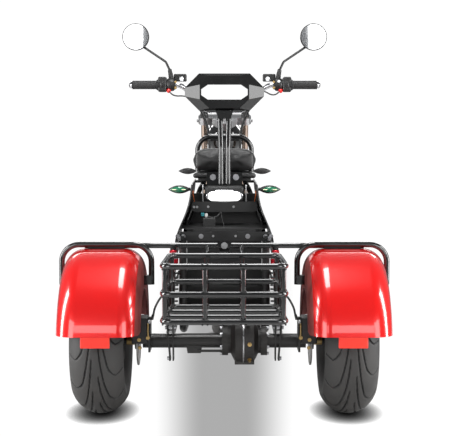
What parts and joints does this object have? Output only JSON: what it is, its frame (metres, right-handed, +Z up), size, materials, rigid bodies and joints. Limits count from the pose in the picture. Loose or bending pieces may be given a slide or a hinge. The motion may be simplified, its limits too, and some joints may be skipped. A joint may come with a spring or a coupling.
{
  "type": "three-wheeled electric motor scooter",
  "caption": "Three-wheeled electric scooter with fat rear tyres under arched fenders, wire basket, twin seat, backrest and raked front fork.",
  "frame": {"origin": "on the ground, in the middle of the scooter's width and length", "axes": "+Z up, +Y the way the scooter drives, +X to the rider's right"},
  "size_m": [1.148, 2.0256, 1.4309],
  "materials": {
    "tyre": "matte",
    "wheel_silver": "satin",
    "disc_steel": "satin",
    "frame_black": "satin",
    "cast_black": "satin",
    "caliper_black": "satin",
    "shock_black": "gloss",
    "deck_rubber": "matte",
    "plastic_black": "matte",
    "plastic_gloss": "gloss",
    "lamp_clear": "gloss",
    "candy_red": "gloss",
    "reflector_red": "gloss",
    "lens_green": "gloss",
    "tube_gloss_black": "gloss",
    "leather_black": "satin",
    "alloy_silver": "satin",
    "alloy_black": "satin",
    "chrome": "polished",
    "grip_rubber": "matte",
    "mirror": "polished"
  },
  "bodies": {
    "chassis": {"back_panel": "plastic_gloss", "backrest_frame": "tube_gloss_black", "basket": "tube_gloss_black", "battery_box": "plastic_black", "blank_plate": "plastic_black", "calipers": "caliper_black", "drive_motor": "cast_black", "foot_deck": "deck_rubber", "gear_housing": "cast_black", "guard_frame": "tube_gloss_black", "indicator_lenses": "lens_green", "main_frame": "frame_black", "rear_axle": "frame_black", "rear_fenders": "candy_red", "rear_indicators": "plastic_black", "reflectors": "reflector_red", "seat_hinge": "frame_black", "shock_springs": "shock_black", "shocks": "alloy_silver", "side_panels": "plastic_gloss", "tail_channel": "frame_black", "tail_lamp": "lamp_clear", "tail_tray": "plastic_black"},
    "rear_wheel_left": {"rear_tyre_left": "tyre", "rear_wheel_left": "wheel_silver", "rear_disc_left": "disc_steel"},
    "rear_wheel_right": {"rear_tyre_right": "tyre", "rear_wheel_right": "wheel_silver", "rear_disc_right": "disc_steel"},
    "front_wheel": {"front_tyre": "tyre", "front_wheel": "wheel_silver", "front_disc": "disc_steel"},
    "steering": {"fork_clamps": "alloy_silver", "fork_stanchions": "chrome", "fork_lowers": "alloy_black", "front_fender": "plastic_gloss", "headlamp": "plastic_gloss", "headlamp_lens": "lamp_clear", "front_indicators": "plastic_black", "handlebar": "chrome", "grips": "grip_rubber", "switch_housings": "plastic_black", "brake_levers": "alloy_black", "mirrors": "plastic_black", "mirror_glass": "mirror"},
    "seat": {"rear_cushion": "leather_black", "front_cushion": "leather_black", "seat_tray": "plastic_black", "grab_hoop": "tube_gloss_black"}
  },
  "joints": [
    {"name": "rear_wheel_left_spin", "type": "hinge", "parent": "chassis", "child": "rear_wheel_left", "pos_m": [-0.426, -0.60525, 0.25], "axis": [1, 0, 0], "continuous": true},
    {"name": "rear_wheel_right_spin", "type": "hinge", "parent": "chassis", "child": "rear_wheel_right", "pos_m": [0.426, -0.60525, 0.25], "axis": [1, 0, 0], "continuous": true},
    {"name": "steering_turn", "type": "hinge", "parent": "chassis", "child": "steering", "pos_m": [0, 0.35818, 0.98944], "axis": [0, -0.4384, 0.8988], "range_deg": [-36, 36]},
    {"name": "front_wheel_spin", "type": "hinge", "parent": "steering", "child": "front_wheel", "pos_m": [0, 0.77475, 0.238], "axis": [1, 0, 0], "continuous": true},
    {"name": "seat_tip", "type": "hinge", "parent": "chassis", "child": "seat", "pos_m": [0, 0.25275, 0.796], "axis": [-1, 0, 0], "range_deg": [0, 50]}
  ]
}
